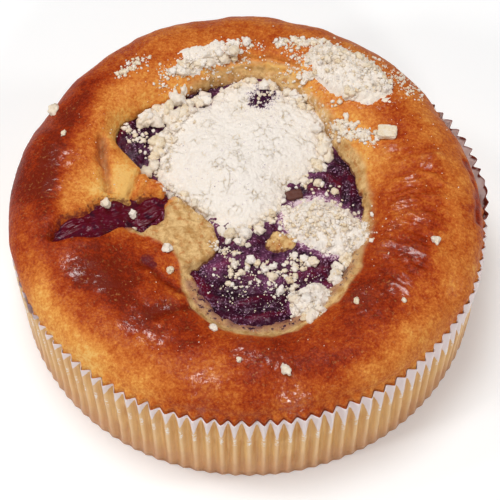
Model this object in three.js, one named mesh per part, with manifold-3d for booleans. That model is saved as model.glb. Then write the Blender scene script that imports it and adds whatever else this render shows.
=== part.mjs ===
// A round yeast-dough crumb cake, baked in a pleated paper case. The dough rises in a puffy ring
// round a hollow of berry filling, and crumb topping lies heaped on the filling and strewn over
// the crust. Millimetres, +Z up, origin at the centre of the case's underside. The near side of
// the cake faces -Y. Angles run anticlockwise from +X, seen from above.
import * as THREE from "three";
import { mergeVertices } from "three/addons/utils/BufferGeometryUtils.js";
import Module from "manifold-3d";

// Paper case
const CASE_RIM_RADIUS = 57; // to the outer folds
const CASE_BASE_RADIUS = 56;
const CASE_HEIGHT = 26.5;
const PLEATS = 112;
const RIM_PLEAT_DEPTH = 1.5;
const BASE_PLEAT_DEPTH = 0.4;
const PAPER = 0.35; // across the wall, along the radius
const GAP = 0.3; // clearance between pieces that touch

// Dough: heights here and below are counted from the case's rim
const DOUGH_RADIUS = 54.8; // inside the case
// Radii of the crust's shoulder, evenly round the cake: it leans out over the rim at the back and left.
const CRUST_RADII = [54.9, 55, 55.4, 56.2, 56.6, 56, 56.6, 56.2, 55.2, 55, 54.8, 54.8];
const SHOULDER_HEIGHT = 0.5; // where the crust is widest, if it doesn't lean out
const SHOULDER_LIFT = 0.6; // more than that for each millimetre by which it leans out
const SHOULDER_POWER = 2.4; // of the superellipse from the shoulder up to the crest
const CREST_RADIUS = 42;
const CREST_HEIGHT = 10;
const BACK_LIFT = 2; // the far side has risen higher than the near side
const LIP_DROP = 3.2; // from the crest down to the hollow's lip
// Radii of the hollow's lip, evenly round it
const LIP_RADII = [
  29.5, 29, 28.8, 30, 33, 36, 37, 36.7, 35, 36.5, 37.5, 25.5,
  27.5, 30, 23.7, 23, 29, 33.6, 35.3, 35.5, 33.4, 31.8, 30.2, 30,
];
const HOLLOW_WALL = 5.5; // width of the slope from the lip to the floor
const HOLLOW_FLOOR = -1;
// Lobes of dough that stand up through the filling: a torn one, and a golden one beside the split.
// The radii of an outline run evenly round its own centre, from the way it is turned.
const TORN_RADII = [8, 6.8, 7.2, 10, 13.4, 9, 13, 17, 17, 12.6, 11.4, 10.2];
const LOBES = [
  { x: -13.5, y: -8, radii: TORN_RADII, turn: 0, top: 6.1 },
  { x: -23, y: 3.8, radii: [4, 3.6, 4.4, 5], turn: 10, top: 6.3 },
];
// The split that runs out through the crust at the left
const SPLIT = { x: -33, y: -5.2, along: 15.8, across: 4.9, turn: 27, depth: 4.8 };

// Filling
const FILLING_LEVEL = 2.5; // at the edge of the hollow
const FILLING_SWELL = 1; // more than that in the middle
const SPLIT_FILLING_DROP = 1.7; // below the crust on either side

// Crumb topping: how high each heap rises in its middle, and how thick it still is at its edge
const HEAP_RADII = [21, 22.6, 21.6, 21, 18, 20, 20.5, 19.2, 18.2, 22.4, 17, 14.4];
const HEAP = { x: -2, y: 13, radii: HEAP_RADII, turn: 0, edge: 1, rise: 4.7 };
const PATCHES = {
  crumbs_far_right: { x: 24, y: 34, radii: [13.5, 7, 6.5, 12, 6.5, 7.5], turn: -35, edge: 0.7, rise: 1.5 },
  crumbs_far_left: { x: -11, y: 40.5, radii: [10, 3.4, 3.6, 11, 4, 3], turn: 18, edge: 0.7, rise: 1.4 },
  crumbs_right: { x: 18, y: -7, radii: [10, 7.5, 8.5, 10.5, 6.5, 7], turn: -20, edge: 0.8, rise: 1.8 },
  crumbs_front: { x: 14, y: -26, radii: [5, 3.5, 3.8, 4.6, 3.4, 4], turn: 50, edge: 0.8, rise: 1.6 },
};

const { degToRad, lerp, smoothstep, euclideanModulo } = THREE.MathUtils;
const TURN = 2 * Math.PI;

const wasm = await Module();
wasm.setup();

// Surfaces, as heights over the plane of the rim

// A smooth closed curve through radii that are spaced evenly round a circle
function roundCurve(radii, angle) {
  const steps = euclideanModulo(angle / TURN, 1) * radii.length;
  const first = Math.floor(steps);
  const t = steps - first;
  const [a, b, c, d] = [-1, 0, 1, 2].map((k) => radii[(first + k + radii.length) % radii.length]);
  return b + 0.5 * t * (c - a + t * (2 * a - 5 * b + 4 * c - d + t * (3 * (b - c) + d - a)));
}

const crustRadius = (angle) => roundCurve(CRUST_RADII, angle);
const lipRadius = (angle) => roundCurve(LIP_RADII, angle);
const crestHeight = (angle) => CREST_HEIGHT + BACK_LIFT * Math.sin(angle);
const shoulderHeight = (angle) => SHOULDER_HEIGHT + SHOULDER_LIFT * (crustRadius(angle) - DOUGH_RADIUS);

// The crust's shoulder and crest, the lip of the hollow, and its floor
function crustHeight(x, y) {
  const radius = Math.hypot(x, y);
  const angle = Math.atan2(y, x);
  const crest = crestHeight(angle);
  if (radius > CREST_RADIUS) {
    const outward = Math.min(1, (radius - CREST_RADIUS) / (crustRadius(angle) - CREST_RADIUS));
    const level = (1 - outward ** SHOULDER_POWER) ** (1 / SHOULDER_POWER);
    return lerp(shoulderHeight(angle), crest, level);
  }
  const lip = lipRadius(angle);
  const inward = (CREST_RADIUS - radius) / (CREST_RADIUS - lip);
  if (inward < 1) return crest - LIP_DROP * inward ** 2;
  return lerp(crest - LIP_DROP, HOLLOW_FLOOR, smoothstep((lip - radius) / HOLLOW_WALL, 0, 1));
}

// An ellipse's radius at an angle, about its own centre
const ellipse = ({ along, across, turn }) => (angle) => {
  const own = angle - degToRad(turn);
  return (along * across) / Math.hypot(across * Math.cos(own), along * Math.sin(own));
};

// The radius at an angle of an outline with its own radii
const outlineOf = ({ radii, turn }) => (angle) => roundCurve(radii, angle - degToRad(turn));

const lobeTop = ({ top }) => (x, y, t) => lerp(HOLLOW_FLOOR - 1, top, Math.sqrt(1 - t ** 4));
const splitFloor = (x, y, t) => crustHeight(x, y) - SPLIT.depth * (1 - t * t);
const splitFilling = (x, y) => crustHeight(x, y) - SPLIT_FILLING_DROP;
const poolLevel = (x, y) => FILLING_LEVEL + FILLING_SWELL * (1 - (Math.hypot(x, y) / CREST_RADIUS) ** 2);

// Solids

// A closed surface from one end point, through rings of equal count, to the other end point.
// The rings run anticlockwise, and the first end is the lower one.
function ringedSolid(start, rings, end) {
  const count = rings[0].length;
  const last = rings.length - 1;
  const points = [start, ...rings.flat(), end];
  const at = (ring, i) => 1 + ring * count + (i % count);
  const faces = [];
  for (let i = 0; i < count; i++) {
    faces.push(0, at(0, i + 1), at(0, i));
    for (let ring = 0; ring < last; ring++) {
      faces.push(at(ring, i), at(ring, i + 1), at(ring + 1, i + 1));
      faces.push(at(ring, i), at(ring + 1, i + 1), at(ring + 1, i));
    }
    faces.push(points.length - 1, at(last, i), at(last, i + 1));
  }
  const geometry = new THREE.BufferGeometry().setFromPoints(points);
  geometry.setIndex(faces);
  return geometry;
}

const ringOf = (count, place) => Array.from({ length: count }, (_, i) => place((TURN * i) / count, i));

// A solid over an outline round its own centre, between a level and a shaped surface. The steps
// are where the surface has rings, as shares of the outline's radius.
function plug({ x, y }, outline, surface, level, count, steps) {
  const place = (angle, t, height) => {
    const radius = outline(angle) * t;
    const [px, py] = [x + radius * Math.cos(angle), y + radius * Math.sin(angle)];
    return new THREE.Vector3(px, py, CASE_HEIGHT + (height ?? surface(px, py, t)));
  };
  const shaped = [1, ...steps].map((t) => ringOf(count, (angle) => place(angle, t)));
  const flat = ringOf(count, (angle) => place(angle, 1, level));
  const [middle, flatMiddle] = [place(0, 0), place(0, 0, level)];
  if (middle.z > flatMiddle.z) return toManifold(ringedSolid(flatMiddle, [flat, ...shaped], middle));
  return toManifold(ringedSolid(middle, [...shaped.reverse(), flat], flatMiddle));
}

function toManifold(geometry) {
  const merged = mergeVertices(geometry);
  const vertProperties = merged.attributes.position.array;
  const triVerts = new Uint32Array(merged.index.array);
  return new wasm.Manifold(new wasm.Mesh({ numProp: 3, vertProperties, triVerts }));
}

function toGeometry(manifold) {
  const mesh = manifold.getMesh();
  const geometry = new THREE.BufferGeometry();
  geometry.setAttribute("position", new THREE.BufferAttribute(mesh.vertProperties, 3));
  geometry.setIndex(new THREE.BufferAttribute(mesh.triVerts, 1));
  return geometry;
}

// What is left of a solid over others, without the slivers at its edge
function restingOn(solid, others) {
  const without = (left, other) => left.subtract(other).subtract(other.translate([0, 0, GAP]));
  const cut = others.reduce(without, solid);
  return cut.decompose().reduce((a, b) => (a.volume() > b.volume() ? a : b));
}

// Pieces

function paperCase() {
  const ring = (radius, pleatDepth, z) =>
    ringOf(2 * PLEATS, (angle, i) => {
      const reach = radius - (i % 2) * pleatDepth;
      return new THREE.Vector3(reach * Math.cos(angle), reach * Math.sin(angle), z);
    });
  const wall = (inset, floor) =>
    [0, 0.1, 1].map((t) => {
      const radius = lerp(CASE_BASE_RADIUS, CASE_RIM_RADIUS, t) - inset;
      const pleatDepth = lerp(BASE_PLEAT_DEPTH, RIM_PLEAT_DEPTH, Math.sqrt(t));
      return ring(radius, pleatDepth, lerp(floor, CASE_HEIGHT, t));
    });
  const rings = [...wall(0, 0), ...wall(PAPER, PAPER).reverse()];
  return ringedSolid(new THREE.Vector3(0, 0, 0), rings, new THREE.Vector3(0, 0, PAPER));
}

function dough() {
  const underside = PAPER + GAP;
  const ring = (radiusAt, heightAt) =>
    ringOf(72, (angle) => {
      const radius = radiusAt(angle);
      const [x, y] = [radius * Math.cos(angle), radius * Math.sin(angle)];
      return new THREE.Vector3(x, y, heightAt(x, y));
    });
  const onTop = (x, y) => CASE_HEIGHT + crustHeight(x, y);
  const fromCrest = (edge) => (t) => ring((angle) => lerp(CREST_RADIUS, edge(angle), t), onTop);
  const rings = [
    ...[underside, CASE_HEIGHT + GAP].map((z) => ring(() => DOUGH_RADIUS, () => z)),
    ...[1, 0.98, 0.9, 0.7, 0.4].map(fromCrest(crustRadius)),
    ...[0, 0.5, 1].map(fromCrest(lipRadius)),
    ...[0.25, 0.5, 0.75, 1].map((t) => ring((angle) => lipRadius(angle) - HOLLOW_WALL * t, onTop)),
  ];
  const foot = new THREE.Vector3(0, 0, underside);
  const middle = new THREE.Vector3(0, 0, CASE_HEIGHT + HOLLOW_FLOOR);
  const round = toManifold(ringedSolid(foot, rings, middle));
  const cut = plug(SPLIT, ellipse(SPLIT), splitFloor, CREST_HEIGHT + 5, 40, [0.8, 0.6, 0.3]);
  const withLobe = (body, lobe) =>
    body.add(plug(lobe, outlineOf(lobe), lobeTop(lobe), HOLLOW_FLOOR - 4, 24, [0.95, 0.75, 0.4]));
  return LOBES.reduce(withLobe, round.subtract(cut));
}

// One mass, still to be cut to the dough: the pool in the hollow, and what has run along the split
function uncutFilling() {
  const foot = HOLLOW_FLOOR - 2;
  const pool = plug({ x: 0, y: 0 }, (angle) => lipRadius(angle) - GAP, poolLevel, foot, 48, [0.6]);
  return pool.add(plug(SPLIT, ellipse(SPLIT), splitFilling, foot, 40, [0.8, 0.6, 0.3]));
}

// Crumbs lie on whatever is under them, and thin out towards an uneven edge.
function crumbs(patch, under, below, count, steps) {
  const surface = (x, y, t) => under(x, y) + GAP + lerp(patch.rise, patch.edge, t * t);
  return restingOn(plug(patch, outlineOf(patch), surface, HOLLOW_FLOOR - 2, count, steps), below);
}

// The cake

const finishes = {
  paper: new THREE.MeshStandardMaterial({ color: 0xd9b98a, roughness: 0.6, metalness: 0 }),
  crust: new THREE.MeshStandardMaterial({ color: 0xb2581c, roughness: 0.4, metalness: 0 }),
  filling: new THREE.MeshStandardMaterial({ color: 0x2e0f22, roughness: 0.25, metalness: 0 }),
  crumb: new THREE.MeshStandardMaterial({ color: 0xf0e6d6, roughness: 0.95, metalness: 0 }),
};

const cake = new THREE.Group();

function addPiece(name, geometry, finish) {
  const piece = new THREE.Mesh(geometry, finish);
  piece.name = name;
  cake.add(piece);
}

const body = dough();
const berries = uncutFilling();
const onFilling = (x, y) => Math.max(crustHeight(x, y), poolLevel(x, y));

addPiece("paper_case", paperCase(), finishes.paper);
addPiece("dough", toGeometry(body), finishes.crust);
addPiece("berry_filling", toGeometry(restingOn(berries, [body])), finishes.filling);
const heap = crumbs(HEAP, onFilling, [body, berries], 48, [0.8, 0.5, 0.25]);
addPiece("crumb_heap", toGeometry(heap), finishes.crumb);
for (const [name, patch] of Object.entries(PATCHES)) {
  const strewn = crumbs(patch, onFilling, [body, berries, heap], 24, [0.55]);
  addPiece(name, toGeometry(strewn), finishes.crumb);
}

export default cake;
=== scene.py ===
"""A berry-filled crumb cake in its pleated paper case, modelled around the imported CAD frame.

Shapes are worked out in millimetres, with heights counted from the case's rim, as in the CAD. Angles
run anticlockwise from +X, seen from above, and the near side of the cake faces -Y.
"""
import math

import bmesh
import bpy
import numpy as np
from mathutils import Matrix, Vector
from mathutils.bvhtree import BVHTree


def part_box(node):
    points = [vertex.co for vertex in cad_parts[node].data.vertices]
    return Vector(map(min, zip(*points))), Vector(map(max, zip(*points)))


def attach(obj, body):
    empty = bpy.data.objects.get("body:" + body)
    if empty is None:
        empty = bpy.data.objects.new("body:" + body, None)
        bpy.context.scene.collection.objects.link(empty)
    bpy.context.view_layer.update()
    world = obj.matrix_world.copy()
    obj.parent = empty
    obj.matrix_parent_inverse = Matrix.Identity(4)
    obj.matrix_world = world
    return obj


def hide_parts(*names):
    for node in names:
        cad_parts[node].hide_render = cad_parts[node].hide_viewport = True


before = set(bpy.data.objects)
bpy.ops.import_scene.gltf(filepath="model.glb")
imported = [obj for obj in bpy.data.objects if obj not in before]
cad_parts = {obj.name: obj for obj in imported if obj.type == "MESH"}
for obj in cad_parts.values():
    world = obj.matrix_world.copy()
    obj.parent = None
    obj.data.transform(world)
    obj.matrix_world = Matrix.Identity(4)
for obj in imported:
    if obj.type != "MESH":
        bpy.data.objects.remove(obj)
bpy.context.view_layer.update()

MM = 0.001
TURN = 2 * math.pi
case_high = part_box("paper_case")[1]
RIM_RADIUS = case_high.x / MM
RIM_HEIGHT = case_high.z / MM
FLOOR_RADIUS = RIM_RADIUS - 3
DOUGH_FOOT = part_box("dough")[0].z / MM - RIM_HEIGHT

# Paper case
PLEATS = 112
PLEAT_PHASE = 0.07  # share of a pleat by which an outer fold misses the middle of the near side
BASE_INSET = 1.0  # how much narrower the case is at its foot
ROOM_FOR_DENTS = 0.25
RIM_PLEAT_DEPTH = 1.5
BASE_PLEAT_DEPTH = 0.4
PAPER = 0.14
POINTS_PER_PLEAT = 10
# Stretches of the rim, as their middle and half their width in degrees: where it stands free of the
# dough, by how much, and where it is scorched, most deeply scorched, flattened and stained by filling
LOOSE_RIM = dict(middle=16, half=14, blend=14)
LOOSE_RIM_LEAN = 1.5
BURNT_RIM = dict(middle=17, half=22)
BURNT_FOLDS = dict(middle=3, half=3)
FLAT_PLEATS = dict(middle=7, half=4)
STAINED_PAPER = dict(middle=202, half=8)
# At every 30 degrees, how far the dry white paper reaches down in inner folds, and how much further in
# outer ones
DRY_INSIDE = [5.5, 4.5, 2, 1.5, 1, 0.8, 0.5, 0.5, 0.8, 1.2, 3, 5.5]
DRY_OUTSIDE = [4.5, 4.5, 4, 3.5, 3, 2.5, 2, 2, 3.2, 5.6, 5.6, 4.6]
GLINTS = (6.5, 11)  # how far below the rim the outer folds glint

# Dough
SIDE_HEIGHTS = (-24, -16, -9, -5, -0.6)  # from the foot to where the dough leaves the paper
PRESSED_HEIGHT = -6  # above it, the dough presses against the paper
LOOSE_HEIGHT = -4  # above it, the case's loose rim stands free of the dough
LOOSE_DOUGH_RADIUS = 54.4
SHOULDER_POWER = 2.4  # 2 would be round; more is squarer
LOW_SHOULDER = dict(radius=54.6, height=0.4)  # where the crust hangs out least
SHOULDER_RISE = 0.7  # for each mm that it hangs out further
# How far out the crust reaches, at every 30 degrees
CRUST_RADII = [55.4, 54.6, 55.4, 56.2, 56.6, 56, 56.6, 56.2, 55.2, 55, 55, 55.8]
CREST_RADIUS = 42
CREST_HEIGHT = 10
BACK_LIFT = 2
LIP_DROP = 3.2  # from the crest down to the hollow's lip
# The hollow's lip at every 15 degrees, and the width of the slope inside it at every 30
LIP_RADII = [
    29.5, 29, 28.8, 30, 33, 36, 37, 36.7, 35, 36.5, 37.5, 25.5,
    27.5, 30, 23.7, 22.6, 28, 33, 35.2, 35.5, 33.4, 31.8, 30.2, 30,
]
WALL_WIDTHS = [6, 6, 5, 3.5, 3, 2.5, 4, 9, 11, 9, 8, 7]
HOLLOW_FLOOR = -1
CENTRE_RADIUS = 8  # inside it, the crust has fewer rings
# At every 30 degrees, how far the pale dough shows outside the hollow's lip
PALE_REACH = [0.6, 1.4, 0.8, 2.2, 0.4, 0, 0, 0, 1.6, 2.2, 2.0, 1.2]
# Bulges of dough in the hollow: where each is, how far it reaches all round, how high it is and how
# much it falls, in mm for each mm to the right
TORN_DOUGH = dict(
    x=-13.5, y=-8, turn=0, top=6.1, fall=0.1,
    radii=[8, 6.8, 7.2, 10, 13.4, 9, 13, 17, 17, 12.6, 11.4, 10.2],
)
GOLDEN_BULGE = dict(x=-23, y=3.8, radii=[4, 3.6, 4.4, 5], turn=10, top=6.3, fall=0)
DOUGH_WINDOWS = [
    dict(x=8.2, y=-9.8, radii=[5.6, 3.4, 5.4, 3.2], turn=5, top=4.35, fall=0),
    dict(x=14, y=-2, radii=[5, 3, 5, 3], turn=-10, top=4.35, fall=0),
]
# Stretches of the ring, in degrees: where its inner side has a skin, and where its skin is ridged
GOLDEN_LIP = dict(middle=147, half=33)
PULLED_SKIN = dict(middle=-8, half=28)
# The open split at the left, with half its length and half its width
SPLIT = dict(x=-33, y=-5.2, along=15.8, across=4.9, turn=27, depth=4.8)
# Fold lines in the crust: the places they pass, their width and depth, and how bare they are
CREASES = [
    ([(-34.6, 15.5), (-34.2, 9), (-32.4, 1.5)], 1, 2.8, 0.5),
    ([(-24.4, 9), (-26.3, 5), (-27.4, 0.5)], 0.7, 1.3, 0),
    ([(-24, -17.5), (-19.5, -22), (-15, -24.5)], 1, 0.7, 0),
    ([(-22, -31.5), (-17, -30), (-12, -29)], 1.6, 0.6, 0),
    ([(-14, 36.5), (-5, 39), (5, 39), (12, 36.5)], 0.7, 1.1, 0.8),
    ([(-9, 35.5), (0, 37), (9, 35.5)], 0.6, 0.8, 0.8),
    ([(52, 12), (54, 3), (53.5, -6)], 0.8, 0.8, 0),
]
CRUST_COLUMNS_PER_PLEAT = 6

# How brown the crust is, from 0 to 1, at every 30 degrees: at the lip, crest, outer slope and paper
BROWN_RINGS = [
    [0.55, 0.4, 0.2, 0, 0.3, 0.2, 0.12, 0.7, 0.6, 0.6, 0.65, 0.7],
    [0.7, 0.58, 0.4, 0.46, 0.42, 0.56, 0.6, 0.92, 0.84, 0.66, 0.78, 0.86],
    [0.45, 0.42, 0.38, 0.54, 0.54, 1, 1.05, 0.62, 0.5, 0.66, 0.75, 0.52],
    [0.55, 0.5, 0.48, 0.5, 0.58, 0.78, 0.88, 0.25, 0.3, 0.7, 0.42, 0.38],
]
OUTER_SLOPE_RADIUS = 48
PAPER_SIDE_RADIUS = 53
# Round spots that are baked darker, or paler below 0: x, y, radius, change
BAKED_SPOTS = [
    (5, -44, 8, 0.18), (27, -28, 6, 0.15), (36, 20, 5, 0.15), (-12, -38, 5, 0.18), (-33, -24, 6, 0.2),
    (-34, 3.5, 6, -0.36), (-41, -3, 5, -0.2), (-22, 4, 4, 0.3), (-35, 24, 7, -0.1), (26, 10, 5, -0.3),
    (22, 17, 4, -0.25),
]
# Where filling has run over the crust: x, y, radius
JAM_SPOTS = [(-23.3, -16.8, 1.5), (-21.6, -18.2, 1)]
# Where the crust is glossy and crinkled: x, y, radius
GLAZED_SPOTS = [
    (-33, -24, 3), (-25, -34, 4), (-18, -28.5, 2.5), (-40, -20, 3), (-1, -42, 3), (6, -44, 3),
    (-10, -50, 4), (10, -51, 4), (26, -28, 4), (34, -26, 3), (32, -15, 3), (38, -17, 3), (42, 8, 2.5),
    (33, 12, 2.5), (36, -4, 2.5), (40, -8, 2.5), (34, -9, 2), (38, 3, 2), (-44, 10, 4), (-46, 1, 3),
    (-20, -38, 3),
]

# Filling
FILLING_LEVEL = 2.5
FILLING_SWELL = 1
FILLING_FOOT = 0.5  # its underside
FILLING_COLUMNS = 360
# Where the filling stands higher: x, y, radius, height
FILLING_RISES = [(-28, 21, 8, 3.4), (-17, 30, 8, 3.8), (2, 34, 9, 3.4), (22, 9, 7, 1.6), (0, -30, 10, 0.8)]
SPLIT_FILLING_DROP = 1.7
SPLIT_FILLING_THICKNESS = 3
SPLIT_COLUMNS = 170
STAIN = (62, 24, 52)  # the colour of what it has stained
# Where the filling is redder than elsewhere: x, y, radius, change
WINE_SPOTS = [
    (-23, -1, 7, 0.5), (-14, 1.5, 6, 0.4), (-30, 20, 4, 0.2), (-9, -21, 4, 0.3), (18, -18, 5, 0.3),
]

# Crumb topping: how far the heap and each patch reach all round, and how high they are at the edge and
# rise in the middle, over the filling's level for the heap and over what is under it for a patch
HEAP = dict(
    x=-2, y=13, turn=0, edge=-0.7, rise=4.9,
    radii=[21, 22.6, 21.6, 21.6, 18, 20, 20.5, 19.2, 18.2, 22.4, 17, 14.4],
)
BACK_EDGE = 3.8  # how much higher the heap's edge is at the back
RIM_SUNK = 0.6  # how deep a heap's or patch's rim lies in what is under it
HEAP_POINTS_ACROSS = 270
# Where the heap is lower: x, y, radius, depth
HEAP_GAPS = [(-12, 30, 3.4, 2.5), (17, 28.5, 2.6, 2)]
# Where crumbs are stained by the filling: x, y, radius
STAINED_CRUMBS = [(-12, 30.5, 3), (4.5, 31, 2.8), (2.5, 28, 2.4), (16.5, 28.5, 1.8)]
PATCHES = {
    "crumbs_far_right": dict(x=24, y=34, turn=-35, edge=0.2, rise=1.1, radii=[15, 8.2, 7.8, 13.5, 7.8, 8.6]),
    "crumbs_far_left": dict(x=-10, y=39.5, turn=18, edge=0, rise=0.3, radii=[11, 4, 4, 11.5, 4.6, 3.8]),
    "crumbs_right": dict(x=18, y=-6.5, turn=-20, edge=0.8, rise=2, radii=[10.5, 8, 9, 11, 7, 7.5]),
    "crumbs_front": dict(x=14, y=-26, turn=50, edge=1.2, rise=1.7, radii=[5.5, 4, 4.2, 5.2, 4, 4.4]),
}
PATCH_POINTS_ACROSS = 110
# How floury the crust and the filling are round the heap and then round each patch
CRUST_FLOUR = [0.65, 0.5, 0.25, 0.65, 0.65]
FILLING_FLOUR = [0.55, 0, 0, 1, 0.7]
NO_FLOUR = -0.8  # so low that no unevenness makes any show
FLOURED = dict(x=3, y=-17, wide=12, deep=6)  # where the bare filling is floury too
# Loose crumbs: the places that a strewn band passes, its spread, how many, the smallest and largest
STREWN = [
    ([(-23, 10), (-21.5, 17), (-17, 25), (-11, 30)], 1.5, 70, 1, 3.8),
    ([(-21, 16), (-14, 25)], 2.5, 60, 0.6, 2),
    ([(-22.5, 9), (-17, 3.5), (-9, -3)], 0.6, 45, 0.4, 2),
    ([(-19, 33), (-14, 36.5), (-8, 38.5), (-1, 42)], 1.4, 60, 0.8, 2.8),
    ([(-6, 33), (3, 34.5), (11, 31), (16, 26)], 1.2, 70, 0.6, 2.8),
    ([(17, 22), (19, 16), (16, 9)], 0.9, 45, 0.8, 3.6),
    ([(-22, 32), (-13, 36), (2, 42)], 2.6, 500, 0.25, 0.8),
    ([(-31, 34), (-25, 38)], 1.6, 150, 0.3, 1.3),
    ([(7, 43), (19, 43)], 1.5, 380, 0.25, 1.3),
    ([(10, 37), (22, 37), (34, 33)], 4.5, 900, 0.25, 0.9),
    ([(12, 33), (27, 39), (34, 30), (20, 26)], 1.5, 150, 0.7, 1.9),
    ([(36, 36), (41, 28)], 2.5, 160, 0.25, 0.8),
    ([(20, 21), (25, 18), (30, 15)], 1.7, 420, 0.3, 1.5),
    ([(12, 6.5), (18, 5), (20, 1)], 2.2, 40, 0.6, 2.2),
    ([(7, -1), (3, -6), (-2, -10), (-6, -8)], 1.2, 60, 0.6, 2.6),
    ([(10, -4), (18, -7), (25, -6)], 4.5, 700, 0.3, 1.4),
    ([(24, -9), (23, -14), (20, -21)], 1.6, 50, 0.5, 2.6),
    ([(-6, -19), (3, -18.5), (14, -15)], 3.4, 90, 0.5, 2.6),
    ([(-2, -20), (6, -22), (14, -17)], 4, 300, 0.2, 0.9),
    ([(-9, -20), (0, -28), (12, -27), (21, -21)], 2.5, 130, 0.15, 0.6),
    ([(11, -25), (14, -31)], 2.2, 130, 0.4, 2.8),
    ([(-29, 20), (-24, 17)], 2.6, 80, 0.25, 1.4),
    ([(-25, 22.5), (-20, 26.5), (-15, 30)], 1, 45, 1.2, 3.8),
    ([(-8, -12), (-4, -13), (-2, -16)], 1.6, 120, 0.2, 1.2),
    ([(0, 38), (40, 25), (38, -10)], 9, 80, 0.15, 0.5),
    ([(30, 0), (34, -14), (26, -30)], 4.5, 25, 0.15, 0.5),
    ([(-30, -20), (-10, -40), (20, -42)], 7, 30, 0.15, 0.5),
    ([(-38, 20), (-25, -2)], 6, 30, 0.15, 0.5),
    ([(2, 28), (5, 32)], 1.8, 40, 0.3, 1.1),
]
# Crumbs that lie apart: x, y, diameter
LONE_CRUMBS = [
    (-33.5, -1.5, 2.4), (-18.7, -13.6, 2.3), (-7.7, -35.7, 2.1), (8.3, -46.5, 2.6), (-2, -44.4, 1.5),
    (43, -13.8, 1.9), (24.5, -29, 1.5), (35, -29.2, 1.1), (-18, -19.5, 1.6), (-44, 16.3, 1.5),
    (-27.2, -2.6, 2), (-26.8, -6.8, 1.3), (-22.6, 11.2, 2.6), (-20, 3.6, 1.1), (-11, -1.4, 1.3),
    (14, -31.5, 3.4), (13, -14.5, 2), (15, -15.6, 2.4), (20.5, -21.5, 2.4), (-4, -8.3, 2.8),
    (-47, 25.5, 2.6),
]
# Kinds of loose crumbs: name, size from and to, and how finely each is made
CRUMB_KINDS = [("coarse_crumbs", 1.4, 9, 3), ("medium_crumbs", 0.65, 1.4, 2), ("fine_crumbs", 0, 0.65, 1)]
CHIP = dict(place=(10.8, 3.2), size=(3.8, 2.5, 1.4), turn=15)
CHUNK = dict(place=(33, 16.2), size=(4.4, 3.5, 1.6), turn=-8)

# Stage: each light's name, place and size in metres, and power in watts
LIGHTS = [
    ("overhead", (-0.1, 0.05, 0.75), 0.3, 2.75),
    ("left", (-0.6, -0.3, 0.45), 0.12, 1.2),
    ("upper_left", (-0.5, 0.1, 0.62), 0.15, 0.8),
    ("front", (0.2, -0.75, 0.5), 0.12, 1.6),
    ("right", (0.6, 0, 0.35), 0.12, 0.7),
]
FILL_LIGHT = 0.16
WHITE = (1, 1, 1, 1)
VIEW_ELEVATION = 57.05  # degrees above the horizon, from the front
VIEW_LENS = 129.2
# The view's distance and the place it looks at, in rim radii
VIEW_DISTANCE = 7.4
VIEW_TARGET = (0.0072, -0.1756)

random = np.random.default_rng(7)


# Noise over points, an array of (..., 3) in millimetres


def lattice_value(cell, seed):
    """A repeatable random number from 0 to 1 for each whole-numbered point (..., 3)."""
    mixed = cell[..., 0] * 374761393 + cell[..., 1] * 668265263 + cell[..., 2] * 1440662683
    mixed = (mixed + seed * 1013904223) & 0xFFFFFFFF
    mixed = ((mixed ^ (mixed >> 15)) * 2246822519) & 0xFFFFFFFF
    mixed = ((mixed ^ (mixed >> 13)) * 3266489917) & 0xFFFFFFFF
    return ((mixed ^ (mixed >> 16)) & 0xFFFFFF) / 0xFFFFFF


def noise(points, size, seed=0, octaves=1):
    """Smooth noise from about -1 to 1, whose largest features are as wide as size."""
    total = 0
    for octave in range(octaves):
        scaled = points / size * 2**octave + 17.3 * octave
        cell = np.floor(scaled).astype(np.int64)
        part = scaled - cell
        blend = part**3 * (part * (part * 6 - 15) + 10)
        value = 0
        for corner in np.ndindex(2, 2, 2):
            offset = np.array(corner)
            weight = np.prod(np.where(offset, blend, 1 - blend), axis=-1)
            slope = [lattice_value(cell + offset, seed + 31 * k) * 2 - 1 for k in range(3)]
            value = value + weight * sum(slope[k] * (part[..., k] - corner[k]) for k in range(3))
        total = total + value * 1.6 / 2**octave
    return total


def grains(points, size, seed=0):
    """Distances, in shares of size, to the nearest and the next of scattered points, and the
    nearest one's own random number."""
    scaled = points / size
    cell = np.floor(scaled).astype(np.int64)
    nearest = np.full(points.shape[:-1], 9.0)
    second = nearest.copy()
    own = np.zeros_like(nearest)
    for corner in np.ndindex(3, 3, 3):
        other = cell + np.array(corner) - 1
        place = np.stack([lattice_value(other, seed + 7 * k) for k in range(3)], axis=-1)
        distance = np.linalg.norm(other + place - scaled, axis=-1)
        closer = distance < nearest
        second = np.where(closer, nearest, np.minimum(second, distance))
        own = np.where(closer, lattice_value(other, seed + 99), own)
        nearest = np.where(closer, distance, nearest)
    return nearest, second, own


def flat(x, y):
    return np.stack([x, y, np.zeros_like(x)], axis=-1)


def polar(x, y):
    return np.hypot(x, y), np.arctan2(y, x)


def turned(x, y, degrees):
    turn = math.radians(degrees)
    return x * math.cos(turn) - y * math.sin(turn), x * math.sin(turn) + y * math.cos(turn)


def wandering(x, y, size, far, seed):
    """The same places, each moved by up to about far, smoothly, so that edges drawn there wander."""
    points = flat(x, y)
    return x + far * noise(points, size, seed, 2), y + far * noise(points, size, seed + 1, 2)


def smooth(t):
    t = np.clip(t, 0, 1)
    return t * t * (3 - 2 * t)


def mix(a, b, share):
    return a + (b - a) * share


def higher(a, b, blend):
    """The higher of two surfaces, with a soft crease as wide as blend where they meet."""
    near = np.maximum(blend - np.abs(a - b), 0) / blend
    return np.maximum(a, b) + near * near * blend / 4


# Plan shapes


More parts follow.
